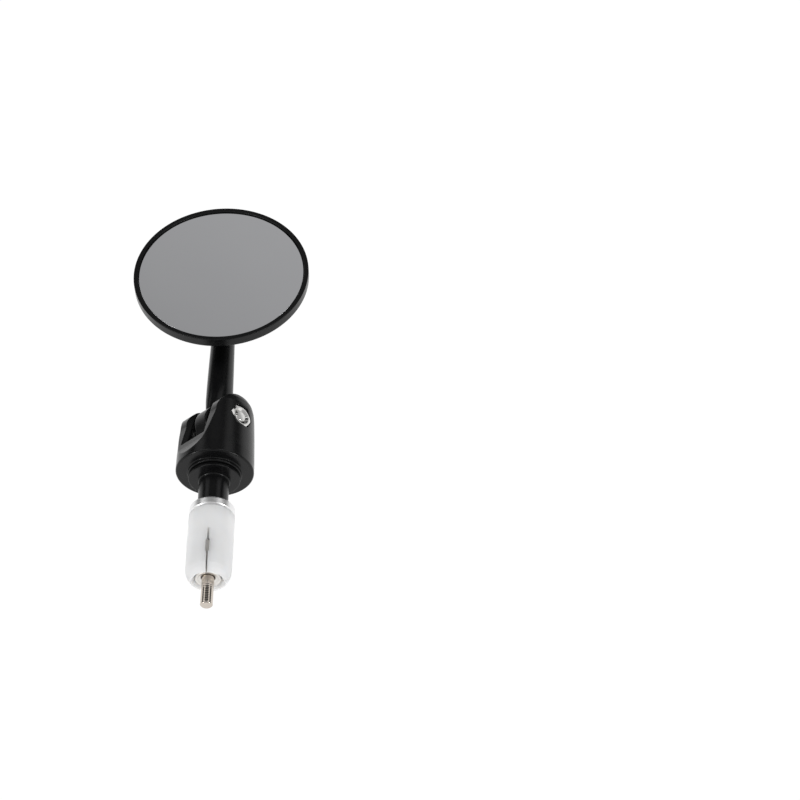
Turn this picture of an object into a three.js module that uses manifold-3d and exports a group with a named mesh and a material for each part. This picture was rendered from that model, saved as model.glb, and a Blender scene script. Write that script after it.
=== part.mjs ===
// Bar-end mirror for a bicycle or motorcycle, millimetres, +Z up.
// The handlebar runs along -Y from the origin, the arm and the mirror run along +Y, the glass faces +Z.
import * as THREE from "three";
import { mergeVertices } from "three/addons/utils/BufferGeometryUtils.js";
import Module from "manifold-3d";

// Driving dimensions
const GLASS_D = 68;          // visible mirror glass
const GLASS_T = 3.1;        // front face to back face
const GLASS_Z = 21.5;        // glass face above the arm axis
const PAD_T = 0.7;           // foam tape behind the glass
const RIM_R = 36.1;          // outside of the rim
const RIM_T = 4.1;           // straight side wall of the rim
const RIM_Z = 22.3;          // front edge of the rim, 1.3 above the glass
const BACK_R = 10.6;         // small end of the conical back
const BARREL_R = 9.65;
const BARREL_TOP = 6.0;
const BARREL_END = -13.3;
const RETAINER_R = 7.8;
const RETAINER_OUT = 10.8;   // face of the retainer from the barrel axis
const BALL_R = 4.4;
const NECK_R = 2.3;
const PIVOT_Y = 24.9;        // fold pivot above the bar end
const ARM_LENGTH = 65.1;     // fold pivot to ball centre
const EYE_R = 9.6;
const EYE_HALF = 3.5;
const WASHER_R = 7.8;
const CLEVIS_TURN = 42.3;      // degrees the clevis is turned on the bar axis
const CLEVIS_R = 15.6;
const CLEVIS_BASE = 3.3;
const SLOT_HALF = 5.3;
const SLOT_FLOOR = 14.3;
const EAR_HALF = 10.45;         // half width of an ear, and radius of its tip
const BOSS_R = 10.8;
const FLANGE_R = 10.3;
const STEM_R = 6.0;
const STEM_END = -13.2;
const SLEEVE_R = 9.05;
const SLEEVE_TOP = -17.25;
const SLEEVE_END = -48.3;
const SAW_SLIT = 0.7;
const SLIT_WINDOW = 1.5;         // wider opening along two of the slits, where the cone nut's keys run
const KEY_HALF = 0.65;
const KEY_R = 8.75;
const KEY_TOP = -34.85;          // clear of the window's top by a little more than the cone's travel
const WINDOW_TOP = -33.9;
const WINDOW_END = -40.1;
const BOLT_R = 2.45;
const BOLT_BORE = 2.75;
const BOLT_END = -59.3;
const HEX_NUT_AF = 9.0;
const SCREW_HEAD_R = 4.3;
const PIVOT_SCREW_R = 2.45;

const wasm = await Module();
wasm.setup();

const rad = THREE.MathUtils.degToRad;

// Materials
function coat(name, color, roughness, metalness) {
  const m = new THREE.MeshStandardMaterial({ color, roughness, metalness });
  m.name = name;
  return m;
}
const black = coat("satin_black_metal", 0x17181a, 0.4, 0.6);
const steel = coat("stainless_steel", 0xc9c8c4, 0.25, 1);
const nylon = coat("white_nylon", 0xe8e8e6, 0.5, 0);
const dark = coat("black_nylon", 0x1b1b1b, 0.6, 0);
const foam = coat("foam_tape", 0x2c2c2c, 0.9, 0);
const glass = coat("mirror_glass", 0xb9bcc0, 0.04, 1);

// Solids
function toSolid(geometry) {
  const g = geometry.clone();
  g.deleteAttribute("normal");
  g.deleteAttribute("uv");
  const m = mergeVertices(g, 1e-4);
  const p = m.attributes.position.array;
  const idx = m.index.array;
  const kept = [];
  let volume = 0;
  const a = new THREE.Vector3();
  const b = new THREE.Vector3();
  const c = new THREE.Vector3();
  for (let i = 0; i < idx.length; i += 3) {
    const [u, v, w] = [idx[i], idx[i + 1], idx[i + 2]];
    if (u === v || v === w || w === u) continue;
    kept.push(u, v, w);
    a.fromArray(p, 3 * u);
    b.fromArray(p, 3 * v);
    c.fromArray(p, 3 * w);
    volume += a.dot(b.cross(c));
  }
  if (volume < 0) {
    for (let i = 0; i < kept.length; i += 3) {
      [kept[i + 1], kept[i + 2]] = [kept[i + 2], kept[i + 1]];
    }
  }
  const triVerts = new Uint32Array(kept);
  return new wasm.Manifold(new wasm.Mesh({ numProp: 3, vertProperties: p, triVerts }));
}

function toMesh(name, material, solid) {
  const m = solid.getMesh();
  const g = new THREE.BufferGeometry();
  g.setAttribute("position", new THREE.BufferAttribute(new Float32Array(m.vertProperties), 3));
  g.setIndex(new THREE.BufferAttribute(new Uint32Array(m.triVerts), 1));
  g.computeVertexNormals();
  const mesh = new THREE.Mesh(g, material);
  mesh.name = name;
  return mesh;
}

function placed(geometry, rx = 0, ry = 0, rz = 0, x = 0, y = 0, z = 0) {
  const e = new THREE.Euler(rad(rx), rad(ry), rad(rz));
  const q = new THREE.Quaternion().setFromEuler(e);
  const m = new THREE.Matrix4().compose(new THREE.Vector3(x, y, z), q, new THREE.Vector3(1, 1, 1));
  return geometry.clone().applyMatrix4(m);
}

// A turned shape about +Y from [radius, y] pairs.
function turned(profile, segments = 48) {
  return new THREE.LatheGeometry(profile.map(([r, y]) => new THREE.Vector2(r, y)), segments);
}

const alongY = (profile, segments) => toSolid(turned(profile, segments));
const alongZ = (profile, segments) => toSolid(placed(turned(profile, segments), 90));
const alongX = (profile, segments) => toSolid(placed(turned(profile, segments), 0, 0, -90));

// A closed ring profile: outside radius, inside radius, from y0 to y1, with an outside chamfer.
function ring(outer, inner, y0, y1, chamfer = 0) {
  return [
    [inner, y0],
    [outer - chamfer, y0],
    [outer, y0 + chamfer],
    [outer, y1 - chamfer],
    [outer - chamfer, y1],
    [inner, y1],
    [inner, y0],
  ];
}

const rod = (r, y0, y1) => [[0, y0], [r, y0], [r, y1], [0, y1]];

function box(x0, x1, y0, y1, z0, z1) {
  const g = new THREE.BoxGeometry(x1 - x0, y1 - y0, z1 - z0);
  return toSolid(g.translate((x0 + x1) / 2, (y0 + y1) / 2, (z0 + z1) / 2));
}

// A hexagonal prism along +Y with the distance across its flats.
function hexagon(acrossFlats, y0, y1) {
  const g = new THREE.CylinderGeometry(acrossFlats / Math.sqrt(3), acrossFlats / Math.sqrt(3), y1 - y0, 6);
  return g.translate(0, (y0 + y1) / 2, 0);
}

const cut = (solid, ...tools) => tools.reduce((s, t) => s.subtract(t), solid);

// Plug that sits in the bar end
function stemSpacer() {
  const profile = [
    [BOLT_BORE, STEM_END],
    [STEM_R - 0.7, STEM_END],
    [STEM_R, STEM_END + 0.8],
    [STEM_R, -1.3],
    [6.1, -1.3],
    [6.4, -1.0],
    [6.4, 0],
    [FLANGE_R - 0.3, 0],
    [FLANGE_R, 0.3],
    [FLANGE_R, 1.15],
    [FLANGE_R - 0.25, 1.4],
    [BOLT_BORE, 1.4],
    [BOLT_BORE, STEM_END],
  ];
  return toMesh("stem_spacer", black, alongY(profile, 40));
}

function frictionWasher() {
  return toMesh("friction_washer", dark, alongY(ring(9.7, BOLT_BORE, 1.52, 1.78), 36));
}

function upperCone() {
  const profile = [
    [BOLT_BORE, -21.5],
    [4.2, -21.5],
    [6.25, -17.0],
    [8.6, -17.0],
    [8.9, -16.7],
    [8.9, -14.8],
    [8.6, -14.0],
    [7.9, -13.5],
    [7.2, -13.4],
    [BOLT_BORE, -13.4],
    [BOLT_BORE, -21.5],
  ];
  return toMesh("upper_cone", steel, alongY(profile, 36));
}

function sleeveProfile() {
  return [
    [6.5, SLEEVE_TOP],
    [8.6, SLEEVE_TOP],
    [8.95, SLEEVE_TOP - 0.3],
    [SLEEVE_R, SLEEVE_TOP - 0.85],
    [SLEEVE_R, SLEEVE_END + 5.0],
    [8.85, SLEEVE_END + 3.3],
    [8.2, SLEEVE_END + 1.7],
    [7.2, SLEEVE_END + 0.5],
    [6.4, SLEEVE_END],
    [5.6, SLEEVE_END],
    [5.35, SLEEVE_END + 0.25],
    [5.35, SLEEVE_END + 1.1],
    [4.65, SLEEVE_END + 10.8],
    [3.9, SLEEVE_END + 11.6],
    [3.9, WINDOW_TOP + 0.1],
    [3.3, WINDOW_TOP + 0.7],
    [3.3, -23.4],
    [4.4, -21.8],
    [6.5, SLEEVE_TOP],
  ];
}

// One lengthwise saw cut on the +Z side, open at the sleeve's end, with the curved run-out the saw leaves.
function sawCut(turn) {
  const outline = [
    [-56, 2.0],
    [-31.8, 2.0],
    [-31.2, 2.9],
    [-30.4, 4.6],
    [-29.6, 6.8],
    [-29.0, 9.05],
    [-28.6, 11],
    [-28.4, 14],
    [-56, 14],
  ];
  const shape = new THREE.Shape(outline.map(([y, z]) => new THREE.Vector2(z, y)));
  const g = new THREE.ExtrudeGeometry(shape, { depth: SAW_SLIT, bevelEnabled: false });
  return toSolid(placed(placed(g, 0, -90, 0, SAW_SLIT / 2, 0, 0), 0, turn, 0));
}

// The window that widens a slit, from the bore out through the wall.
function slitWindow(turn) {
  const long = WINDOW_TOP - WINDOW_END;
  const g = new THREE.BoxGeometry(SLIT_WINDOW, long, 12);
  return toSolid(placed(placed(g, 0, 0, 0, 0, WINDOW_END + long / 2, 8), 0, turn, 0));
}

function expanderSleeve() {
  const cuts = [...[0, 90, 180, 270].map(sawCut), ...[0, 180].map(slitWindow)];
  return toMesh("expander_sleeve", nylon, cut(alongY(sleeveProfile(), 36), ...cuts));
}

// The cone has a thin neck with two keys, which run in the sleeve's windows and stop it turning with the bolt.
function coneNut() {
  const profile = [
    [BOLT_BORE, SLEEVE_END + 0.9],
    [4.8, SLEEVE_END + 0.9],
    [5.05, SLEEVE_END + 1.2],
    [4.35, SLEEVE_END + 10],
    [3.6, SLEEVE_END + 10.4],
    [3.6, KEY_TOP],
    [BOLT_BORE, KEY_TOP],
    [BOLT_BORE, SLEEVE_END + 0.9],
  ];
  const keys = [1, -1].map((side) => {
    const [near, far] = [3.2 * side, KEY_R * side].sort((a, b) => a - b);
    return box(-KEY_HALF, KEY_HALF, WINDOW_END + 0.1, KEY_TOP, near, far);
  });
  return toMesh("cone_nut", steel, keys.reduce((s, k) => s.add(k), alongY(profile, 32)));
}

function mainBolt() {
  const profile = [
    [0, BOLT_END],
    [BOLT_R - 0.6, BOLT_END],
    [BOLT_R, BOLT_END + 0.6],
    [BOLT_R, 8.1],
    [4.25, 8.1],
    [4.25, 12.6],
    [3.85, 13.1],
    [0, 13.1],
  ];
  const socket = toSolid(hexagon(4, 10.3, 14));
  return toMesh("main_bolt", steel, alongY(profile, 28).subtract(socket));
}

function mainBoltWasher() {
  return toMesh("main_bolt_washer", steel, alongY(ring(4.5, BOLT_BORE, 7.3, 7.95), 24));
}

// Clevis, drawn with its pivot axis along X
function clevisSide() {
  const half = [
    [1, 15.9],
    [5.4, 15.9],
    [6.1, 15.5],
    [8.7, 14.4],
    [10.5, 13.75],
    [13.2, 13.05],
    [19.2, 11.7],
    [PIVOT_Y, EAR_HALF],
  ];
  for (let i = 1; i < 8; i += 1) {
    const a = (i / 8) * (Math.PI / 2);
    half.push([PIVOT_Y + EAR_HALF * Math.sin(a), EAR_HALF * Math.cos(a)]);
  }
  const shape = new THREE.Shape();
  shape.moveTo(half[0][1], half[0][0]);
  half.slice(1).forEach(([y, z]) => shape.lineTo(z, y));
  shape.lineTo(0, PIVOT_Y + EAR_HALF);
  [...half].reverse().forEach(([y, z]) => shape.lineTo(-z, y));
  const g = new THREE.ExtrudeGeometry(shape, { depth: 40, bevelEnabled: false });
  return toSolid(placed(g, 0, -90, 0, 20, 0, 0));
}

function clevisBlank() {
  const c = 0.5;
  return alongY(
    [
      [BOLT_BORE, 1.9],
      [BOSS_R - 0.3, 1.9],
      [BOSS_R, 2.2],
      [BOSS_R, CLEVIS_BASE],
      [CLEVIS_R - c, CLEVIS_BASE],
      [CLEVIS_R, CLEVIS_BASE + c],
      [CLEVIS_R - 0.05, 9],
      [15.15, 19],
      [14.8, 27],
      [14.6, 31],
      [14.2, 33.4],
      [13.4, 35.3],
      [12.6, 35.6],
      [BOLT_BORE, 35.6],
      [BOLT_BORE, 1.9],
    ],
    48,
  );
}

// The slot mouth: a four-sided flare 1.6 deep that follows the taper of the clevis sides.
function slotFlare(side) {
  const spread = 7.8;
  const start = (y) => 11.4 - 0.24 * (y - SLOT_FLOOR);
  const ringAt = (out, floor) => {
    const w = SLOT_HALF + out;
    const low = side * (start(floor) + out);
    const high = side * (start(60) + out);
    return [[-w, floor, low], [w, floor, low], [w, 60, high], [-w, 60, high]];
  };
  const near = ringAt(0, SLOT_FLOOR);
  const far = ringAt(spread, SLOT_FLOOR - 0.5 * spread);
  const faces = [[0, 1, 2], [0, 2, 3], [4, 6, 5], [4, 7, 6]];
  for (let i = 0; i < 4; i += 1) {
    const j = (i + 1) % 4;
    faces.push([i, i + 4, j + 4], [i, j + 4, j]);
  }
  const g = new THREE.BufferGeometry();
  g.setAttribute("position", new THREE.Float32BufferAttribute([...near, ...far].flat(), 3));
  g.setIndex(faces.flat());
  return toSolid(g);
}

function clevis() {
  const slot = box(-SLOT_HALF, SLOT_HALF, SLOT_FLOOR, 60, -30, 30);
  const boltRecess = alongY(rod(4.8, 7.1, 20), 32);
  const headRecess = toSolid(placed(turned(rod(SCREW_HEAD_R + 0.3, 9.2, 20), 32), 0, 0, 90, 0, PIVOT_Y, 0));
  const nutPocket = toSolid(placed(hexagon(HEX_NUT_AF + 0.5, 9.7, 20), 0, 0, -90, 0, PIVOT_Y, 0));
  const pinBore = toSolid(placed(turned(rod(PIVOT_SCREW_R + 0.25, -20, 20), 24), 0, 0, -90, 0, PIVOT_Y, 0));
  const body = cut(
    clevisBlank().intersect(clevisSide()),
    slot,
    slotFlare(1),
    slotFlare(-1),
    boltRecess,
    headRecess,
    nutPocket,
    pinBore,
  );
  return toMesh("clevis", black, body);
}

// Pivot hardware, drawn on the pivot with its axis along X; the nut is on the +X side.
function pivotScrew() {
  const profile = [
    [0, -14.3],
    [SCREW_HEAD_R - 0.45, -14.3],
    [SCREW_HEAD_R, -13.85],
    [SCREW_HEAD_R, -9.4],
    [PIVOT_SCREW_R, -9.4],
    [PIVOT_SCREW_R, 13.5],
    [PIVOT_SCREW_R - 0.4, 13.9],
    [0, 13.9],
  ];
  const socket = toSolid(placed(hexagon(4, -14.9, -11.5), 0, 0, -90));
  return toMesh("pivot_screw", steel, alongX(profile, 32).subtract(socket));
}

function pivotNut() {
  const corner = HEX_NUT_AF / Math.sqrt(3);
  const dome = [
    [0, 9.9],
    [corner + 1, 9.9],
    [corner + 1, 13.5],
    [HEX_NUT_AF / 2, 14.2],
    [0, 14.2],
  ];
  const blank = toSolid(placed(hexagon(HEX_NUT_AF, 9.9, 15), 0, 0, -90));
  const bore = alongX(rod(PIVOT_SCREW_R + 0.2, 5, 20), 24);
  return toMesh("pivot_nut", steel, cut(blank.intersect(alongX(dome, 36)), bore));
}

function pivotWasher(name, side) {
  const x0 = side > 0 ? 3.65 : -5.13;
  return toMesh(name, steel, alongX(ring(WASHER_R, PIVOT_SCREW_R + 0.25, x0, x0 + 1.48, 0.2), 32));
}

// Arm, drawn from the pivot along +Y
function rodBlank() {
  const end = ARM_LENGTH - 11.7;
  const stations = [
    [3.0, 6.3, 3.45],
    [8.5, 6.3, 3.45],
    [12.5, 6.25, 4.2],
    [20, 6.0, 4.6],
    [30, 5.65, 4.7],
    [43, 5.2, 4.65],
    [end - 1.9, 4.95, 4.6],
    [end, 2.95, 2.9],
  ];
  const n = 28;
  const points = [];
  const faces = [];
  stations.forEach(([y, wide, thick]) => {
    for (let i = 0; i < n; i += 1) {
      const a = (i / n) * 2 * Math.PI;
      points.push(thick * Math.cos(a), y, wide * Math.sin(a));
    }
  });
  for (let s = 0; s + 1 < stations.length; s += 1) {
    for (let i = 0; i < n; i += 1) {
      const j = (i + 1) % n;
      faces.push(s * n + i, (s + 1) * n + i, (s + 1) * n + j);
      faces.push(s * n + i, (s + 1) * n + j, s * n + j);
    }
  }
  const last = (stations.length - 1) * n;
  for (let i = 1; i + 1 < n; i += 1) {
    faces.push(0, i, i + 1);
    faces.push(last, last + i + 1, last + i);
  }
  const g = new THREE.BufferGeometry();
  g.setAttribute("position", new THREE.Float32BufferAttribute(points, 3));
  g.setIndex(faces);
  return toSolid(g);
}

function armRod() {
  const c = 0.6;
  const eye = alongX(
    [
      [0, -EYE_HALF],
      [EYE_R - c, -EYE_HALF],
      [EYE_R, -EYE_HALF + c],
      [EYE_R, EYE_HALF - c],
      [EYE_R - c, EYE_HALF],
      [0, EYE_HALF],
    ],
    40,
  );
  const bore = alongX(rod(PIVOT_SCREW_R + 0.25, -8, 8), 24);
  const threadBore = alongY(rod(2.35, ARM_LENGTH - 20.2, ARM_LENGTH), 20);
  return toMesh("arm_rod", black, cut(eye.add(rodBlank()), bore, threadBore));
}

// Ball and neck, drawn on the ball centre, with the stud screwed into the rod along -Y
function ballStud() {
  const profile = [
    [0, -20],
    [2.1, -20],
    [2.1, -11.9],
    [NECK_R, -11.4],
  ];
  const start = Math.acos(-Math.sqrt(1 - (NECK_R / BALL_R) ** 2));
  for (let i = 0; i <= 10; i += 1) {
    const a = start * (1 - i / 10);
    profile.push([i === 10 ? 0 : BALL_R * Math.sin(a), BALL_R * Math.cos(a)]);
  }
  return toMesh("ball_stud", steel, alongY(profile, 24));
}

function ballSeat() {
  const inner = BALL_R + 0.12;
  const profile = [];
  const from = Math.acos(-3.0 / inner);
  for (let i = 0; i <= 7; i += 1) {
    const a = from * (1 - i / 7) + rad(20) * (i / 7);
    profile.push([inner * Math.sin(a), inner * Math.cos(a)]);
  }
  profile.push([inner * Math.sin(rad(20)), 4.85], [5.2, 4.85], [5.2, -3.0], profile[0].slice());
  return toMesh("ball_seat", nylon, alongY(profile, 24));
}

function ballRetainer() {
  const profile = [
    [3.45, -5.4],
    [7.5, -5.4],
    [RETAINER_R, -5.7],
    [RETAINER_R, -RETAINER_OUT + 0.5],
    [RETAINER_R - 0.5, -RETAINER_OUT],
    [4.75, -RETAINER_OUT],
    [3.45, -5.4],
  ];
  return toMesh("ball_retainer", black, alongY(profile, 36));
}

// Barrel, drawn on the ball centre with its axis along Z
function ballBarrel() {
  const blank = alongZ(
    [
      [0, BARREL_END],
      [6.65, BARREL_END],
      [BARREL_R - 0.15, BARREL_END + 2.7],
      [BARREL_R, BARREL_END + 2.9],
      [BARREL_R, BARREL_TOP - 0.5],
      [BARREL_R - 0.5, BARREL_TOP],
      [6, BARREL_TOP],
      [6, 12.7],
      [5.7, 13],
      [0, 13],
    ],
    48,
  );
  const seatBore = alongY(rod(5.35, -12, 5.0), 24);
  const retainerPocket = alongY(rod(RETAINER_R + 0.15, -14, -5.2), 36);
  const screwBore = alongZ(rod(3.45, -20, 0), 24);
  const mouth = alongZ([[0, -14], [4.75, -14], [3.45, -12.7], [0, -12.7]], 24);
  const tapHole = alongZ(rod(2.2, 7.8, 20), 16);
  return toMesh("ball_barrel", black, cut(blank, seatBore, retainerPocket, screwBore, mouth, tapHole));
}

function pressurePad() {
  const section = [[0, -7.4], [3.2, -7.4], [3.2, -5.75], [2.9, -5.45], [0, -5.45]];
  return toMesh("pressure_pad", dark, alongZ(section, 24));
}

function barrelSetScrew() {
  const blank = alongZ([[0, -12.6], [2.8, -12.6], [3.2, -12.2], [3.2, -7.9], [2.9, -7.6], [0, -7.6]], 24);
  const socket = toSolid(placed(hexagon(3, -14, -9.8), 90));
  return toMesh("barrel_set_screw", steel, blank.subtract(socket));
}

// Mirror head, drawn on the ball centre with the glass facing +Z
function mirrorHousing() {
  const wall = RIM_Z - RIM_T;
  const floor = GLASS_Z - GLASS_T - PAD_T - 0.3;
  const profile = [
    [6.15, 6.2],
    [BACK_R - 0.4, 6.2],
    [BACK_R, 6.5],
    [RIM_R - 0.8, wall - 0.7],
    [RIM_R - 0.25, wall - 0.5],
    [RIM_R, wall],
    [RIM_R, RIM_Z - 0.35],
    [RIM_R - 0.35, RIM_Z],
    [GLASS_D / 2 + 0.45, RIM_Z],
    [GLASS_D / 2 + 0.2, RIM_Z - 0.25],
    [GLASS_D / 2 + 0.2, floor],
    [30.5, floor],
    [11.5, 9.6],
    [8.6, 9.6],
    [8.6, floor],
    [4.0, floor],
    [4.0, 15.5],
    [2.3, 15.5],
    [2.3, 13.3],
    [6.15, 13.3],
    [6.15, 6.2],
  ];
  const relief = alongY(rod(RETAINER_R + 0.15, -RETAINER_OUT - 0.3, -5), 36);
  return toMesh("mirror_housing", black, alongZ(profile, 72).subtract(relief));
}

function housingScrew() {
  const profile = [[0, 8.6], [2.0, 8.6], [2.0, 15.65], [3.7, 15.65], [3.7, 16.8], [3.3, 17.2], [0, 17.2]];
  const socket = toSolid(placed(hexagon(2.5, 16.0, 20), 90));
  return toMesh("housing_screw", steel, alongZ(profile, 20).subtract(socket));
}

function adhesivePad() {
  const back = GLASS_Z - GLASS_T - PAD_T - 0.12;
  const profile = [[0, back], [33.4, back], [33.4, back + PAD_T], [0, back + PAD_T]];
  return toMesh("adhesive_pad", foam, alongZ(profile, 64));
}

function mirrorGlass() {
  const r = GLASS_D / 2;
  const back = GLASS_Z - GLASS_T;
  const profile = [[0, back], [r, back], [r, GLASS_Z - 0.15], [r - 0.15, GLASS_Z], [0, GLASS_Z]];
  return toMesh("mirror_glass", glass, alongZ(profile, 72));
}

// Assembly
function group(name, ...children) {
  const g = new THREE.Group();
  g.name = name;
  g.add(...children);
  return g;
}

const seatGroup = group("ball_joint", ballSeat());
const headGroup = group(
  "mirror_head",
  ballRetainer(),
  ballBarrel(),
  pressurePad(),
  barrelSetScrew(),
  mirrorHousing(),
  housingScrew(),
  adhesivePad(),
  mirrorGlass(),
);
// The clevis turn is taken off again at the ball, so that the glass faces straight up.
const ballGroup = group("ball_centre", ballStud(), seatGroup, headGroup);
ballGroup.position.y = ARM_LENGTH;
ballGroup.rotation.y = rad(CLEVIS_TURN);

const armWashers = [pivotWasher("pivot_washer_left", -1), pivotWasher("pivot_washer_right", 1)];
const armGroup = group("arm", armRod(), ...armWashers);
armGroup.add(ballGroup);

const pivotGroup = group("fold_pivot", pivotScrew(), pivotNut(), armGroup);
pivotGroup.position.y = PIVOT_Y;

const clevisGroup = group("clevis_group", clevis(), pivotGroup);
clevisGroup.rotation.y = rad(-CLEVIS_TURN);

const plugGroup = group(
  "bar_plug",
  stemSpacer(),
  frictionWasher(),
  upperCone(),
  expanderSleeve(),
  coneNut(),
  mainBolt(),
  mainBoltWasher(),
);

export default group("bar_end_mirror", plugGroup, clevisGroup);
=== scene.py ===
import math
import bmesh
import bpy
from mathutils import Matrix, Vector


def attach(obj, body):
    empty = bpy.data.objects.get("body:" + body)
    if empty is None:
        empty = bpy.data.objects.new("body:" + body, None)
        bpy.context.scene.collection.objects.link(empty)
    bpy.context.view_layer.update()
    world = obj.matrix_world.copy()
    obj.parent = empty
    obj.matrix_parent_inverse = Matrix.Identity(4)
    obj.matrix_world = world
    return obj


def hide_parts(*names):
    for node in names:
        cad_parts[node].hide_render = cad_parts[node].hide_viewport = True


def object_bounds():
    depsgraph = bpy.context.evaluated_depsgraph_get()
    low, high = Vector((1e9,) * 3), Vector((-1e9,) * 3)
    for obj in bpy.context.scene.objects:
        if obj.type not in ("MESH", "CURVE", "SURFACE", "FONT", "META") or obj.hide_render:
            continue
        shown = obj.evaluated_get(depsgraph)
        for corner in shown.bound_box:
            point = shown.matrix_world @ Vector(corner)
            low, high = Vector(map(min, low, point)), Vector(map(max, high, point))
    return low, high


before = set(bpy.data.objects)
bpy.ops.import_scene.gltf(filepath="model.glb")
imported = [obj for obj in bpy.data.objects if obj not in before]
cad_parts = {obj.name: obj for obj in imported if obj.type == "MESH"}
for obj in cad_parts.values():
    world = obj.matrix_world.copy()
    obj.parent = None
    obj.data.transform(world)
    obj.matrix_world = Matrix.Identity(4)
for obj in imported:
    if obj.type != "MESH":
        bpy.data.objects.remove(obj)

cad_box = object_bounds()
scene = bpy.context.scene

# ---------------------------------------------------------------- driving sizes, lengths in millimetres
MM = 0.001
TURN = math.radians(42.3)    # the clevis at rest, turned round the bar axis
PIVOT_Y = 24.9
BALL_Y = 90.0
BALL_R = 4.4

BOLT_R = 2.45
BOLT_BORE = 2.75
BOLT_END = -59.3
PITCH = 0.8
FLANGE_R = 10.3
STEM_R = 6.0
STEM_END = -13.2
COLLAR_R = 8.9
SLEEVE_R = 9.05
SLEEVE_TOP = -17.6
SLEEVE_END = -48.3
SLIT_HALF = 0.35
WINDOW_HALF = 0.75
WINDOW_TOP = -33.9
WINDOW_END = -40.1
KEY_HALF = 0.65
KEY_R = 8.75
KEY_TOP = -34.85

CLEVIS_R = 15.57
EAR = 10.45                  # half width of an ear, and the radius of its tip
SLOT_HALF = 5.3
SLOT_FLOOR = 14.3
ARM_GAP = 11.7               # from the arm's end to the ball's centre
WASHER_T = 1.48
SEAT_R = 5.2
SEAT_BORE = 4.52
BARREL_R = 9.65
RETAINER_R = 7.8
RIM_R = 36.1
RIM_Z = 22.3
GLASS_R = 34.0
GLASS_BACK = 18.4
GLASS_FACE = 21.5

# ---------------------------------------------------------------- frames
PLUG = Matrix.Identity(4)
CLEVIS = Matrix.Rotation(-TURN, 4, "Y")
PIVOT = CLEVIS @ Matrix.Translation((0, PIVOT_Y, 0))
HEAD = Matrix.Translation((0, BALL_Y, 0))


# ---------------------------------------------------------------- mesh kit
def new_object(name, bm, frame_matrix=PLUG, smooth_angle=32):
    """A mesh object from a bmesh in millimetres, placed by its frame and scaled to metres."""
    bmesh.ops.transform(bm, matrix=Matrix.Scale(MM, 4) @ frame_matrix, verts=bm.verts)
    bmesh.ops.remove_doubles(bm, verts=bm.verts, dist=2e-7)
    bmesh.ops.recalc_face_normals(bm, faces=bm.faces)
    me = bpy.data.meshes.new(name)
    bm.to_mesh(me)
    bm.free()
    ob = bpy.data.objects.new(name, me)
    scene.collection.objects.link(ob)
    smooth(ob, smooth_angle)
    return ob


def smooth(ob, angle):
    """Smooth shading with sharp edges where the faces meet at more than the angle."""
    bm = bmesh.new()
    bm.from_mesh(ob.data)
    limit = math.radians(angle)
    for f in bm.faces:
        f.smooth = True
    for e in bm.edges:
        e.smooth = not (len(e.link_faces) == 2 and e.calc_face_angle(0) > limit)
    bm.to_mesh(ob.data)
    bm.free()


def rounded(points, radius, closed=False, steps=4):
    """The profile with its corners rounded to the radius, or to each point's own third number."""
    out = []
    n = len(points)
    for i, p in enumerate(points):
        r = p[2] if len(p) > 2 else radius
        if not closed and i in (0, n - 1):
            out.append((p[0], p[1]))
            continue
        a, b, c = Vector(points[i - 1][:2]), Vector(p[:2]), Vector(points[(i + 1) % n][:2])
        u, v = a - b, c - b
        if r <= 0 or u.length < 1e-6 or v.length < 1e-6:
            out.append(tuple(b))
            continue
        turn = math.pi - u.angle(v)
        if turn < math.radians(8):
            out.append(tuple(b))
            continue
        reach = min(r * math.tan(turn / 2), u.length * 0.48, v.length * 0.48)
        p0, p1 = b + u.normalized() * reach, b + v.normalized() * reach
        for k in range(steps + 1):
            t = k / steps
            q = p0 * (1 - t) ** 2 + b * 2 * t * (1 - t) + p1 * t ** 2
            out.append((q.x, q.y))
    return out


def spot(a, h, b, axis):
    """A place at height h on the axis, with a and b square to it."""
    if axis == "Y":
        return (a, h, b)
    if axis == "Z":
        return (b, a, h)
    return (h, b, a)


def lathe(profile, axis="Y", segments=128, closed=False, radius_of=None):
    """A turned bmesh from (radius, height) pairs; radius_of changes a radius by height and angle."""
    bm = bmesh.new()
    rings = []
    for r, h in profile:
        if r < 1e-6:
            rings.append([bm.verts.new(spot(0, h, 0, axis))])
            continue
        ring = []
        for i in range(segments):
            a = 2 * math.pi * i / segments
            q = radius_of(r, h, a) if radius_of else r
            ring.append(bm.verts.new(spot(q * math.cos(a), h, q * math.sin(a), axis)))
        rings.append(ring)
    pairs = list(zip(rings, rings[1:]))
    if closed:
        pairs.append((rings[-1], rings[0]))
    for lo, hi in pairs:
        if len(lo) == 1 and len(hi) == 1:
            continue
        for i in range(segments):
            j = (i + 1) % segments
            if len(lo) == 1:
                bm.faces.new((lo[0], hi[j], hi[i]))
            elif len(hi) == 1:
                bm.faces.new((lo[i], lo[j], hi[0]))
            else:
                bm.faces.new((lo[i], lo[j], hi[j], hi[i]))
    return bm


def rod(radius, h0, h1, axis="Y", segments=64):
    """A plain turned rod between two heights, for cutting."""
    return lathe([(0, h0), (radius, h0), (radius, h1), (0, h1)], axis, segments)


def prism(outline, h0, h1, axis="Y"):
    """A straight bmesh from an outline of (a, b) pairs between two heights on the axis."""
    bm = bmesh.new()
    lo = [bm.verts.new(spot(a, h0, b, axis)) for a, b in outline]
    hi = [bm.verts.new(spot(a, h1, b, axis)) for a, b in outline]
    bm.faces.new(lo)
    bm.faces.new(hi)
    for i in range(len(lo)):
        j = (i + 1) % len(lo)
        bm.faces.new((lo[i], lo[j], hi[j], hi[i]))
    return bm


def hexagon(across, h0, h1, axis="Y"):
    """A hexagonal prism with the distance across its flats."""
    c = across / math.sqrt(3)
    turns = [k * math.pi / 3 for k in range(6)]
    return prism([(c * math.cos(a), c * math.sin(a)) for a in turns], h0, h1, axis)


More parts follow.
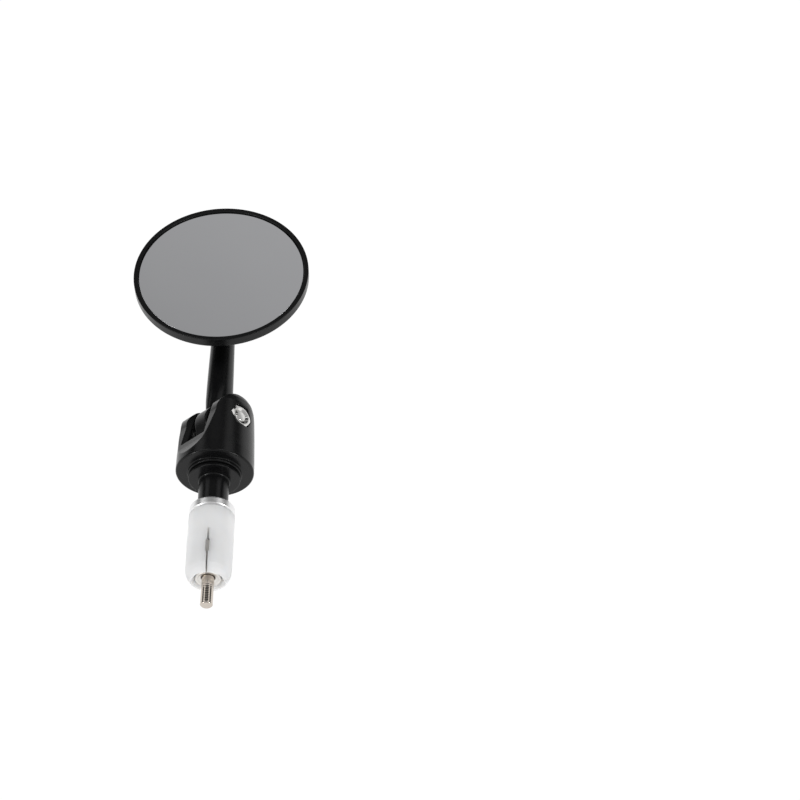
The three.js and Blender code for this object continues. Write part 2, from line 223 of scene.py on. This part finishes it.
def applied(ob):
    """The object with its modifiers made real."""
    dg = bpy.context.evaluated_depsgraph_get()
    me = bpy.data.meshes.new_from_object(ob.evaluated_get(dg))
    old = ob.data
    ob.modifiers.clear()
    ob.data = me
    bpy.data.meshes.remove(old)
    return ob


def combine(ob, operation, *tools):
    """Boolean of the object with each tool object, which is then thrown away."""
    for t in tools:
        m = ob.modifiers.new("cut", "BOOLEAN")
        m.operation = operation
        m.solver = "EXACT"
        m.object = t
        applied(ob)
        bpy.data.objects.remove(t)
    return ob


def tool(bm, frame_matrix=PLUG):
    return new_object("tool", bm, frame_matrix)


def melted(ob, voxel, passes, kept):
    """Evenly remeshed with every edge softened, as a coated casting has, then thinned to the share kept."""
    m = ob.modifiers.new("voxel", "REMESH")
    m.mode = "VOXEL"
    m.voxel_size = voxel * MM
    m.use_smooth_shade = True
    s = ob.modifiers.new("soften", "SMOOTH")
    s.factor = 0.5
    s.iterations = passes
    d = ob.modifiers.new("thin", "DECIMATE")
    d.ratio = kept
    applied(ob)
    for p in ob.data.polygons:
        p.use_smooth = True
    return ob


def weighted(ob):
    m = ob.modifiers.new("normals", "WEIGHTED_NORMAL")
    m.keep_sharp = True
    return ob


def piece(ob, body, slot, surface, *nodes):
    """Puts a finished piece in the frame in place of its CAD nodes."""
    ob.data.materials.clear()
    ob.data.materials.append(surface)
    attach(ob, body)
    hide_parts(*nodes)
    return ob


# ---------------------------------------------------------------- material kit
def material(name, color, metallic, roughness):
    m = bpy.data.materials.new(name)
    m.use_nodes = True
    b = m.node_tree.nodes["Principled BSDF"]
    b.inputs["Base Color"].default_value = (*color, 1)
    b.inputs["Metallic"].default_value = metallic
    b.inputs["Roughness"].default_value = roughness
    return m, m.node_tree, b


def add(tree, kind, **values):
    """A new node with each value set on its socket, or on the node itself where it has no such socket."""
    n = tree.nodes.new(kind)
    for key, value in values.items():
        if key in n.inputs:
            n.inputs[key].default_value = value
        else:
            setattr(n, key, value)
    return n


def noise(tree, scale, detail=3.0, rough=0.5):
    """Noise in object space; scale is cells per metre."""
    co = add(tree, "ShaderNodeTexCoord")
    n = add(tree, "ShaderNodeTexNoise", Scale=scale, Detail=detail, Roughness=rough)
    tree.links.new(co.outputs["Object"], n.inputs["Vector"])
    return n.outputs["Fac"]


def mottle(tree, bsdf, source, dark, light):
    """The base colour, going from dark to light with the source."""
    r = add(tree, "ShaderNodeValToRGB")
    for e, at, c in zip(r.color_ramp.elements, (0.3, 0.7), (dark, light)):
        e.position = at
        e.color = (*c, 1)
    tree.links.new(source, r.inputs["Fac"])
    tree.links.new(r.outputs["Color"], bsdf.inputs["Base Color"])


def wear(tree, bsdf, source, lo, hi):
    """The roughness, going from lo to hi with the source."""
    m = add(tree, "ShaderNodeMapRange")
    for key, number in (("From Min", 0.25), ("From Max", 0.75), ("To Min", lo), ("To Max", hi)):
        m.inputs[key].default_value = number
    tree.links.new(source, m.inputs["Value"])
    tree.links.new(m.outputs["Result"], bsdf.inputs["Roughness"])


def bump(tree, bsdf, height, distance, strength):
    n = add(tree, "ShaderNodeBump", Strength=strength, Distance=distance)
    tree.links.new(height, n.inputs["Height"])
    tree.links.new(n.outputs["Normal"], bsdf.inputs["Normal"])


# ---------------------------------------------------------------- materials
def satin_black():
    m, t, b = material("satin_black", (0.005, 0.005, 0.0055), 0.0, 0.25)
    b.inputs["Specular IOR Level"].default_value = 0.2
    mottle(t, b, noise(t, 900, 4), (0.0042, 0.0043, 0.0047), (0.006, 0.006, 0.0062))
    wear(t, b, noise(t, 260, 5), 0.21, 0.29)
    bump(t, b, noise(t, 9000, 3, 0.6), 0.00001, 0.3)
    return m


def stainless(name, tint, smoothest, roughest):
    m, t, b = material(name, tint, 1.0, smoothest)
    dim = tuple(c * 0.92 for c in tint)
    mottle(t, b, noise(t, 300), dim, tint)
    wear(t, b, noise(t, 500), smoothest, roughest)
    return m


def white_nylon():
    m, t, b = material("white_nylon", (0.93, 0.93, 0.925), 0.0, 0.4)
    b.inputs["Subsurface Weight"].default_value = 1.0
    b.inputs["Subsurface Radius"].default_value = (1.0, 0.97, 0.93)
    b.inputs["Subsurface Scale"].default_value = 0.006
    b.inputs["IOR"].default_value = 1.53
    mottle(t, b, noise(t, 160), (0.92, 0.92, 0.915), (0.95, 0.95, 0.945))
    wear(t, b, noise(t, 400, 4), 0.34, 0.44)
    bump(t, b, noise(t, 1200), 0.00001, 0.3)
    return m


def mirror_material():
    m, t, b = material("mirror_glass", (0.88, 0.885, 0.91), 1.0, 0.03)
    b.inputs["Coat Weight"].default_value = 0.2
    b.inputs["Coat Roughness"].default_value = 0.02
    mottle(t, b, noise(t, 30, 2), (0.87, 0.875, 0.9), (0.89, 0.895, 0.92))
    wear(t, b, noise(t, 60), 0.02, 0.035)
    return m


def black_nylon():
    m, t, b = material("black_nylon", (0.01, 0.01, 0.01), 0.0, 0.55)
    b.inputs["Specular IOR Level"].default_value = 0.3
    mottle(t, b, noise(t, 600), (0.008, 0.008, 0.008), (0.013, 0.013, 0.013))
    wear(t, b, noise(t, 400, 4), 0.5, 0.62)
    bump(t, b, noise(t, 2500), 0.00002, 0.3)
    return m


def foam():
    m, t, b = material("foam_tape", (0.03, 0.03, 0.03), 0.0, 0.9)
    mottle(t, b, noise(t, 2500, 4), (0.02, 0.02, 0.02), (0.05, 0.05, 0.05))
    wear(t, b, noise(t, 900), 0.82, 0.96)
    bump(t, b, noise(t, 2500, 4), 0.00005, 0.6)
    return m


def floor_material():
    """A floor that shines white by itself, so that the part stands on plain white."""
    m, t, b = material("floor", (0.04, 0.04, 0.04), 0.0, 1.0)
    b.inputs["Specular IOR Level"].default_value = 0.0
    b.inputs["Emission Color"].default_value = (1, 1, 1, 1)
    b.inputs["Emission Strength"].default_value = 1.0
    return m


BLACK = satin_black()
STEEL = stainless("stainless", (0.74, 0.735, 0.72), 0.1, 0.18)
BOLT_STEEL = stainless("bolt_steel", (0.62, 0.56, 0.5), 0.09, 0.14)
NUT_STEEL = stainless("nut_steel", (0.78, 0.76, 0.73), 0.3, 0.4)
COLLAR_STEEL = stainless("collar_steel", (0.9, 0.9, 0.9), 0.32, 0.38)
NYLON = white_nylon()
MIRROR = mirror_material()
DARK = black_nylon()
FOAM = foam()


# ---------------------------------------------------------------- plug
def make_stem():
    profile = [
        (BOLT_BORE, STEM_END), (5.3, STEM_END), (STEM_R, STEM_END + 0.8),
        (STEM_R, -1.3, 0.1), (6.1, -1.3, 0.1), (6.4, -1.0, 0.2), (6.4, 0, 0.05),
        (FLANGE_R, 0, 0.35), (FLANGE_R, 1.4, 0.3), (BOLT_BORE, 1.4),
    ]
    ob = new_object("stem", lathe(rounded(profile, 0.25, True), "Y", 144, True))
    piece(weighted(ob), "plug", "satin_black_metal", BLACK, "stem_spacer")


def make_friction_washer():
    profile = [(BOLT_BORE, 1.52), (9.7, 1.52), (9.7, 1.78), (BOLT_BORE, 1.78)]
    ob = new_object("washer_nylon", lathe(rounded(profile, 0.08, True, 2), "Y", 96, True))
    piece(ob, "plug", "black_nylon", DARK, "friction_washer")


def make_upper_cone():
    top = -13.4
    crown = -17.0
    profile = [
        (BOLT_BORE, -21.5), (4.2, -21.5), (6.25, crown - 0.4, 0.1), (8.5, crown - 0.4, 0.1),
        (COLLAR_R, crown, 0.2), (COLLAR_R, top - 1.1, 0.5), (7.9, top, 0.3), (BOLT_BORE, top, 0.1),
    ]
    ob = new_object("cone_upper", lathe(rounded(profile, 0.2, True), "Y", 128, True))
    piece(weighted(ob), "plug", "stainless_steel", COLLAR_STEEL, "upper_cone")


def make_sleeve():
    outside = [
        (6.5, SLEEVE_TOP, 0.1), (8.3, SLEEVE_TOP, 0.2), (8.75, SLEEVE_TOP - 0.15, 0.2),
        (SLEEVE_R, SLEEVE_TOP - 0.6, 0.2), (SLEEVE_R, SLEEVE_END + 5.0), (8.85, SLEEVE_END + 3.3),
        (8.2, SLEEVE_END + 1.7), (7.3, SLEEVE_END + 0.5), (6.8, SLEEVE_END),
    ]
    inside = [
        (6.4, SLEEVE_END, 0.2), (6.15, SLEEVE_END + 0.25, 0.2), (5.35, SLEEVE_END + 1.6, 0.2),
        (4.65, SLEEVE_END + 10.8, 0.2), (3.9, SLEEVE_END + 11.6), (3.9, WINDOW_TOP + 0.1),
        (3.3, WINDOW_TOP + 0.7), (3.3, -23.4), (4.4, -21.8),
    ]
    body = new_object("sleeve_nylon", lathe(rounded(outside + inside, 1.4, True, 5), "Y", 144, True))
    slit = [
        (2.0, -56), (2.0, -31.8), (2.9, -31.2), (4.6, -30.4), (6.8, -29.6),
        (SLEEVE_R, -29.0), (11, -28.6), (14, -28.4), (14, -56),
    ]
    for k in range(4):
        turn = Matrix.Rotation(k * math.pi / 2, 4, "Y")
        combine(body, "DIFFERENCE", tool(prism(slit, -SLIT_HALF, SLIT_HALF, "X"), turn))
    window = [(2.0, WINDOW_END), (2.0, WINDOW_TOP), (14, WINDOW_TOP), (14, WINDOW_END)]
    for k in range(2):
        turn = Matrix.Rotation(k * math.pi, 4, "Y")
        combine(body, "DIFFERENCE", tool(prism(window, -WINDOW_HALF, WINDOW_HALF, "X"), turn))
    smooth(body, 30)
    piece(weighted(body), "plug", "white_nylon", NYLON, "expander_sleeve")


def make_cone_nut():
    mouth = SLEEVE_END + 0.9
    profile = [
        (BOLT_BORE, mouth + 0.8, 0.3), (3.7, mouth + 0.5, 0.3), (4.4, mouth, 0.3), (4.9, mouth, 0.15),
        (5.1, mouth + 0.3, 0.2), (4.35, -38.3), (3.6, -37.9), (3.6, KEY_TOP), (BOLT_BORE, KEY_TOP),
    ]
    ob = new_object("cone_threaded", lathe(rounded(profile, 0.2, True), "Y", 96, True))
    for side in (-1, 1):
        near, far = side * 3.2, side * KEY_R
        corners = [(-KEY_HALF, near), (KEY_HALF, near), (KEY_HALF, far), (-KEY_HALF, far)]
        key = rounded(corners, 0.08, True, 2)
        combine(ob, "UNION", tool(prism(key, WINDOW_END + 0.1, KEY_TOP)))
    smooth(ob, 30)
    piece(weighted(ob), "draw_cone", "stainless_steel", NUT_STEEL, "cone_nut")


def thread(pitch, depth, lo, hi):
    """A radius rule for lathe that cuts a helical thread between two heights."""
    def rule(r, h, a):
        if not (lo < h < hi) or r < 2:
            return r
        t = (h / pitch - a / (2 * math.pi)) % 1
        wave = abs(2 * t - 1)
        fade_in = min(1, (h - lo) / pitch, (hi - h) / pitch)
        return r - depth * fade_in * min(1, max(0, 1.25 * wave - 0.12))
    return rule


def make_bolt():
    head_r, head_foot, head_top = 4.25, 8.1, 13.1
    thread_end = -24
    profile = [(0, BOLT_END), (1.95, BOLT_END), (2.1, BOLT_END + 0.05), (BOLT_R, BOLT_END + 0.4)]
    h = BOLT_END + 0.5
    while h < thread_end:
        profile.append((BOLT_R, h))
        h += PITCH / 7
    profile += [
        (BOLT_R, thread_end), (BOLT_R, head_foot - 0.1), (BOLT_R + 0.1, head_foot),
        (head_r - 0.1, head_foot), (head_r, head_foot + 0.1), (head_r, head_top - 0.5),
        (head_r - 0.1, head_top - 0.25), (3.85, head_top), (0, head_top),
    ]
    rule = thread(PITCH, 0.02, BOLT_END + 0.4, thread_end - 0.2)
    ob = new_object("bolt_long", lathe(profile, "Y", 56, False, rule), PLUG, 50)
    combine(ob, "DIFFERENCE", tool(hexagon(4, 10.3, 14)))
    smooth(ob, 50)
    piece(ob, "clamp_bolt", "stainless_steel", BOLT_STEEL, "main_bolt")


def make_bolt_washer():
    profile = [(BOLT_BORE, 7.3), (4.5, 7.3), (4.5, 7.95), (BOLT_BORE, 7.95)]
    ob = new_object("washer_bolt", lathe(rounded(profile, 0.12, True, 3), "Y", 96, True))
    piece(weighted(ob), "clamp_bolt", "stainless_steel", STEEL, "main_bolt_washer")


# ---------------------------------------------------------------- clevis
def clevis_side():
    """The clevis seen square to the pivot: its flared base, its waist and the round tip of its ears."""
    waist = [
        (1, 15.9), (5.4, 15.9), (6.1, 15.5), (8.7, 14.4, 5), (10.5, 13.75, 8),
        (13.2, 13.05), (19.2, 11.7), (23.5, 10.7, 10),
    ]
    tip_turns = [k / 30 * math.pi / 2 for k in range(30)]
    right = rounded(waist, 0, False, 5)
    right += [(PIVOT_Y + EAR * math.sin(a), EAR * math.cos(a)) for a in tip_turns]
    left = [(-z, y) for y, z in reversed(right)]
    return [(z, y) for y, z in right] + [(0, PIVOT_Y + EAR)] + left


def flare(side):
    """The slot mouth: a four-sided flare that follows the taper of the clevis sides."""
    high = 60
    bm = bmesh.new()
    rings = []
    for out in (0, 7.8):
        w = SLOT_HALF + out
        floor = SLOT_FLOOR - 0.5 * out
        low_z, high_z = (side * (11.4 - 0.24 * (y - SLOT_FLOOR) + out) for y in (floor, high))
        corners = ((-w, floor, low_z), (w, floor, low_z), (w, high, high_z), (-w, high, high_z))
        rings.append([bm.verts.new(p) for p in corners])
    bm.faces.new(rings[0])
    bm.faces.new(rings[1])
    for i in range(4):
        j = (i + 1) % 4
        bm.faces.new((rings[0][i], rings[0][j], rings[1][j], rings[1][i]))
    return bm


def make_clevis():
    blank = [
        (BOLT_BORE, 1.9), (10.5, 1.9), (10.8, 2.2), (10.8, 3.3), (15.1, 3.3), (CLEVIS_R, 3.8),
        (15.52, 9), (15.15, 19), (14.8, 27, 8), (14.6, 31, 5), (14.2, 33.4, 2.5), (13.4, 35.3, 1.2),
        (12.6, 35.6), (BOLT_BORE, 35.6),
    ]
    body = new_object("clevis_body", lathe(rounded(blank, 0, True, 6), "Y", 160, True), CLEVIS)
    combine(body, "INTERSECT", tool(prism(clevis_side(), -20, 20, "X"), CLEVIS))
    across = [(-SLOT_HALF, -30), (SLOT_HALF, -30), (SLOT_HALF, 30), (-SLOT_HALF, 30)]
    combine(
        body, "DIFFERENCE",
        tool(prism(across, SLOT_FLOOR, 60), CLEVIS),
        tool(flare(1), CLEVIS),
        tool(flare(-1), CLEVIS),
        tool(rod(4.8, 7.1, 20), CLEVIS),
        tool(rod(4.6, -20, -9.2, "X", 96), PIVOT),
        tool(hexagon(9.5, 9.7, 20, "X"), PIVOT),
        tool(rod(2.7, -20, 20, "X"), PIVOT),
    )
    melted(body, 0.17, 5, 0.3)
    piece(body, "clevis", "satin_black_metal", BLACK, "clevis")


def make_pivot_screw():
    profile = [
        (0, -14.3), (3.85, -14.3), (4.3, -13.85), (4.3, -9.4), (BOLT_R, -9.4), (BOLT_R, 13.4),
        (2.05, 13.9), (0, 13.9),
    ]
    ob = new_object("screw_pivot", lathe(rounded(profile, 0.2), "X", 96), PIVOT)
    combine(ob, "DIFFERENCE", tool(hexagon(4, -14.9, -11.5, "X"), PIVOT))
    smooth(ob, 30)
    piece(weighted(ob), "clevis", "stainless_steel", STEEL, "pivot_screw")


def make_pivot_nut():
    foot, face = 9.9, 14.25
    ob = new_object("nut_pivot", hexagon(9.0, foot, 14.6, "X"), PIVOT)
    dome = [(0, foot), (6.4, foot), (6.4, 13.1, 0.1), (4.9, 13.9, 0.3), (4.0, face, 0.2), (0, face)]
    combine(ob, "INTERSECT", tool(lathe(rounded(dome, 0.2), "X", 128), PIVOT))
    bore = [(0, 5), (2.65, 5), (2.65, 13.1), (3.6, 14.3), (3.6, 20), (0, 20)]
    combine(ob, "DIFFERENCE", tool(lathe(bore, "X", 64), PIVOT))
    smooth(ob, 24)
    piece(weighted(ob), "clevis", "stainless_steel", STEEL, "pivot_nut")


# ---------------------------------------------------------------- arm
def arm_blank():
    """The oval rod along the arm, from stations of (distance, half width, half thickness)."""
    end = BALL_Y - PIVOT_Y - ARM_GAP
    stations = [
        (3, 6.3, 3.45), (8.5, 6.3, 3.45), (12.5, 6.25, 4.2), (20, 6.0, 4.6), (30, 5.65, 4.7),
        (43, 5.2, 4.65), (end - 1.9, 4.95, 4.6), (end - 1.5, 4.6, 4.3), (end, 2.95, 2.9),
    ]
    turns = [2 * math.pi * i / 96 for i in range(96)]
    bm = bmesh.new()
    rings = []
    for y, wide, thick in stations:
        rings.append([bm.verts.new((thick * math.cos(a), y, wide * math.sin(a))) for a in turns])
    for lo, hi in zip(rings, rings[1:]):
        for i in range(len(turns)):
            j = (i + 1) % len(turns)
            bm.faces.new((lo[i], lo[j], hi[j], hi[i]))
    bm.faces.new(rings[0])
    bm.faces.new(rings[-1])
    return bm


def make_arm_rod():
    ob = new_object("arm_rod_body", arm_blank(), PIVOT)
    eye = [(0, -3.5), (9.0, -3.5), (9.6, -2.9), (9.6, 2.9), (9.0, 3.5), (0, 3.5)]
    combine(ob, "UNION", tool(lathe(eye, "X", 128), PIVOT))
    combine(
        ob, "DIFFERENCE",
        tool(rod(2.7, -8, 8, "X"), PIVOT),
        tool(rod(2.35, 44.3, 70, "Y", 48), PIVOT),
    )
    melted(ob, 0.2, 6, 0.35)
    piece(ob, "arm", "satin_black_metal", BLACK, "arm_rod")


def make_pivot_washer(name, foot):
    profile = [(2.7, foot), (7.8, foot), (7.8, foot + WASHER_T), (2.7, foot + WASHER_T)]
    ring = rounded(profile, 0.25, True, 3)
    ob = new_object(name + "_turned", lathe(ring, "X", 96, True), PIVOT)
    piece(weighted(ob), "arm", "stainless_steel", STEEL, name)


def make_ball_stud():
    neck_r = 2.3
    start = math.pi - math.asin(neck_r / BALL_R)
    turns = [start * (1 - i / 40) for i in range(40)]
    profile = [(0, -20), (2.1, -20), (2.1, -11.9), (neck_r, -11.4)]
    profile += [(BALL_R * math.sin(a), BALL_R * math.cos(a)) for a in turns]
    profile.append((0, BALL_R))
    ob = new_object("ball_and_neck", lathe(profile, "Y", 96), HEAD)
    piece(ob, "arm", "stainless_steel", STEEL, "ball_stud")


# ---------------------------------------------------------------- mirror head
def make_ball_seat():
    lip, back = -3.0, 4.85
    first, last = math.acos(lip / SEAT_BORE), math.radians(20)
    turns = [first * (1 - i / 24) + last * (i / 24) for i in range(25)]
    profile = [(SEAT_BORE * math.sin(a), SEAT_BORE * math.cos(a)) for a in turns]
    profile += [(SEAT_BORE * math.sin(last), back), (SEAT_R, back), (SEAT_R, lip)]
    ob = new_object("seat_nylon", lathe(profile, "Y", 96, True), HEAD)
    piece(ob, "ball_seat", "white_nylon", NYLON, "ball_seat")


def make_ball_retainer():
    profile = [
        (3.45, -5.4), (7.5, -5.4), (RETAINER_R, -5.7), (RETAINER_R, -10.8, 0.6), (4.75, -10.8, 0.3),
    ]
    ob = new_object("retainer_ring", lathe(rounded(profile, 0.2, True), "Y", 128, True), HEAD)
    piece(weighted(ob), "head", "satin_black_metal", BLACK, "ball_retainer")


def make_ball_barrel():
    foot, shoulder, boss_r = -13.3, 6.0, 6
    wall = [
        (3.45, -7.5), (3.45, foot + 0.6, 0.1), (4.75, foot, 0.15), (6.65, foot, 0.35),
        (BARREL_R, -10.5, 0.5), (BARREL_R, shoulder, 0.45), (boss_r, shoulder, 0.05),
        (boss_r, 13, 0.3), (2.2, 13, 0.2), (2.2, 9),
    ]
    profile = [(0, -7.5)] + rounded(wall, 0.2) + [(0, 9)]
    ob = new_object("barrel_body", lathe(profile, "Z", 160), HEAD)
    combine(
        ob, "DIFFERENCE",
        tool(rod(7.95, -14, -5.2, "Y", 128), HEAD),
        tool(rod(5.35, -12, 5.0, "Y", 96), HEAD),
    )
    smooth(ob, 30)
    piece(weighted(ob), "head", "satin_black_metal", BLACK, "ball_barrel")


def make_pressure_pad():
    profile = rounded([(0, -7.4), (3.2, -7.4), (3.2, -5.45), (0, -5.45)], 0.25)
    ob = new_object("pad_pressure", lathe(profile, "Z", 64), HEAD)
    piece(weighted(ob), "head", "black_nylon", DARK, "pressure_pad")


def make_set_screw():
    profile = rounded([(0, -12.6), (3.2, -12.6, 0.5), (3.2, -7.6, 0.4), (0, -7.6)], 0.3)
    ob = new_object("grub_screw", lathe(profile, "Z", 96), HEAD)
    combine(ob, "DIFFERENCE", tool(hexagon(3, -14, -9.8, "Z"), HEAD))
    smooth(ob, 30)
    piece(weighted(ob), "head", "stainless_steel", BOLT_STEEL, "barrel_set_screw")


def make_housing():
    recess, glass_wall = 17.4, 34.2
    outside = [
        (6.15, 6.2, 0.1), (10.2, 6.2, 0.3), (10.6, 6.5, 0.3), (35.3, 17.5, 0.8), (RIM_R, 18.2, 0.7),
        (RIM_R, RIM_Z, 0.35), (34.45, RIM_Z, 0.2), (glass_wall, RIM_Z - 0.25, 0.1),
    ]
    inside = [
        (glass_wall, recess, 0.2), (30.5, recess, 0.3), (11.5, 9.6, 0.5), (8.6, 9.6, 0.3),
        (8.6, recess, 0.3), (4.0, recess, 0.2), (4.0, 15.5, 0.1), (2.3, 15.5, 0.1),
        (2.3, 13.3, 0.1), (6.15, 13.3, 0.2),
    ]
    profile = rounded(outside + inside, 0.3, True, 5)
    ob = new_object("housing_dish", lathe(profile, "Z", 256, True), HEAD)
    piece(weighted(ob), "head", "satin_black_metal", BLACK, "mirror_housing")


def make_housing_screw():
    shank = [(0, 8.6), (2.0, 8.6), (2.0, 15.65, 0.1), (3.7, 15.65), (3.7, 17.2, 0.6), (0, 17.2)]
    ob = new_object("screw_housing", lathe(rounded(shank, 0.2), "Z", 64), HEAD)
    combine(ob, "DIFFERENCE", tool(hexagon(2.5, 16.0, 20, "Z"), HEAD))
    smooth(ob, 30)
    piece(weighted(ob), "head", "stainless_steel", STEEL, "housing_screw")


def make_adhesive_pad():
    profile = rounded([(0, 17.58), (33.4, 17.58), (33.4, 18.28), (0, 18.28)], 0.2)
    ob = new_object("tape_pad", lathe(profile, "Z", 160), HEAD)
    piece(weighted(ob), "head", "foam_tape", FOAM, "adhesive_pad")


def make_glass():
    bevel = 0.15
    profile = [
        (0, GLASS_BACK), (GLASS_R, GLASS_BACK, 0.1), (GLASS_R, GLASS_FACE - bevel, 0.1),
        (GLASS_R - bevel, GLASS_FACE, 0.1), (0, GLASS_FACE),
    ]
    ob = new_object("glass_disc", lathe(rounded(profile, 0.2), "Z", 256), HEAD)
    piece(weighted(ob), "head", "mirror_glass", MIRROR, "mirror_glass")


# ---------------------------------------------------------------- stage, light and camera, in metres
def make_stage():
    radius = 12
    z = cad_box[0].z
    turns = [k / 96 * 2 * math.pi for k in range(96)]
    bm = bmesh.new()
    bm.faces.new([bm.verts.new((radius * math.cos(a), radius * math.sin(a), z)) for a in turns])
    me = bpy.data.meshes.new("floor")
    bm.to_mesh(me)
    bm.free()
    floor = bpy.data.objects.new("floor", me)
    scene.collection.objects.link(floor)
    me.materials.append(floor_material())


def area(name, size, power, place, aim):
    data = bpy.data.lights.new(name, "AREA")
    data.shape = "RECTANGLE"
    data.size, data.size_y = size
    data.energy = power
    ob = bpy.data.objects.new(name, data)
    ob.location = place
    ob.rotation_mode = "QUATERNION"
    ob.rotation_quaternion = (Vector(aim) - Vector(place)).to_track_quat("-Z", "Y")
    scene.collection.objects.link(ob)


def fade(tree, value, lo, hi, out_lo, out_hi):
    m = add(tree, "ShaderNodeMapRange", interpolation_type="SMOOTHSTEP")
    for key, number in (("From Min", lo), ("From Max", hi), ("To Min", out_lo), ("To Max", out_hi)):
        m.inputs[key].default_value = number
    tree.links.new(value, m.inputs["Value"])
    return m.outputs["Result"]


def sky(tree):
    """Pale round the horizon and behind the camera, dark overhead, with a grey wall that the mirror faces."""
    wall_up = math.radians(40)
    co = add(tree, "ShaderNodeTexCoord")
    split = add(tree, "ShaderNodeSeparateXYZ")
    tree.links.new(co.outputs["Generated"], split.inputs["Vector"])
    facing = add(tree, "ShaderNodeVectorMath", operation="DOT_PRODUCT")
    facing.inputs[1].default_value = (0.0, math.cos(wall_up), math.sin(wall_up))
    tree.links.new(co.outputs["Generated"], facing.inputs[0])
    total = fade(tree, split.outputs["Z"], 0.06, 0.2, 0.5, 0.0)
    behind = fade(tree, split.outputs["Y"], -0.25, 0.1, 0.45, 0.0)
    wall = fade(tree, facing.outputs["Value"], 0.93, 1.0, 0.02, 0.385)
    for layer in (behind, wall):
        top = add(tree, "ShaderNodeMath", operation="MAXIMUM")
        tree.links.new(total, top.inputs[0])
        tree.links.new(layer, top.inputs[1])
        total = top.outputs["Value"]
    return total


def make_light():
    aim = (0, 0.03, 0)
    for name, side in (("left", -1), ("right", 1)):
        area("softbox_" + name, (0.5, 0.5), 0.75, (side * 0.72, 0.74, 0.74), aim)
        area("strip_" + name, (0.12, 0.3), 2.5, (side * 0.85, -0.8, 0.42), aim)
        area("overhead_" + name, (0.6, 0.8), 4.4, (side * 0.6, 0.1, 1.2), aim)
    world = bpy.data.worlds.new("studio")
    scene.world = world
    world.use_nodes = True
    tree = world.node_tree
    tree.links.new(sky(tree), tree.nodes["Background"].inputs["Color"])


def make_camera():
    """A long lens that looks down on the glass from the plug's side, with a slight roll."""
    down, azimuth, roll = math.radians(51.566), math.radians(1.641), math.radians(-1.866)
    data = bpy.data.cameras.new("camera")
    data.lens = 108
    data.sensor_width = 36
    data.clip_start, data.clip_end = 0.01, 20
    ob = bpy.data.objects.new("camera", data)
    scene.collection.objects.link(ob)
    turn = Matrix.Rotation(azimuth, 3, "Z")
    forward = turn @ Vector((0, math.cos(down), -math.sin(down)))
    up = turn @ Vector((0, math.sin(down), math.cos(down)))
    right = turn @ Vector((1, 0, 0))
    across = right * math.cos(roll) + up * math.sin(roll)
    above = up * math.cos(roll) - right * math.sin(roll)
    ob.location = (0.090769, -0.565355, 0.762746)
    ob.rotation_mode = "QUATERNION"
    ob.rotation_quaternion = Matrix((across, above, -forward)).transposed().to_quaternion()
    scene.camera = ob


# ---------------------------------------------------------------- build
make_stem()
make_friction_washer()
make_upper_cone()
make_sleeve()
make_cone_nut()
make_bolt()
make_bolt_washer()
make_clevis()
make_pivot_screw()
make_pivot_nut()
make_arm_rod()
make_pivot_washer("pivot_washer_left", -5.13)
make_pivot_washer("pivot_washer_right", 3.65)
make_ball_stud()
make_ball_seat()
make_ball_retainer()
make_ball_barrel()
make_pressure_pad()
make_set_screw()
make_housing()
make_housing_screw()
make_adhesive_pad()
make_glass()
make_stage()
make_light()
make_camera()
scene.view_settings.view_transform = "Standard"
scene.view_settings.look = "None"
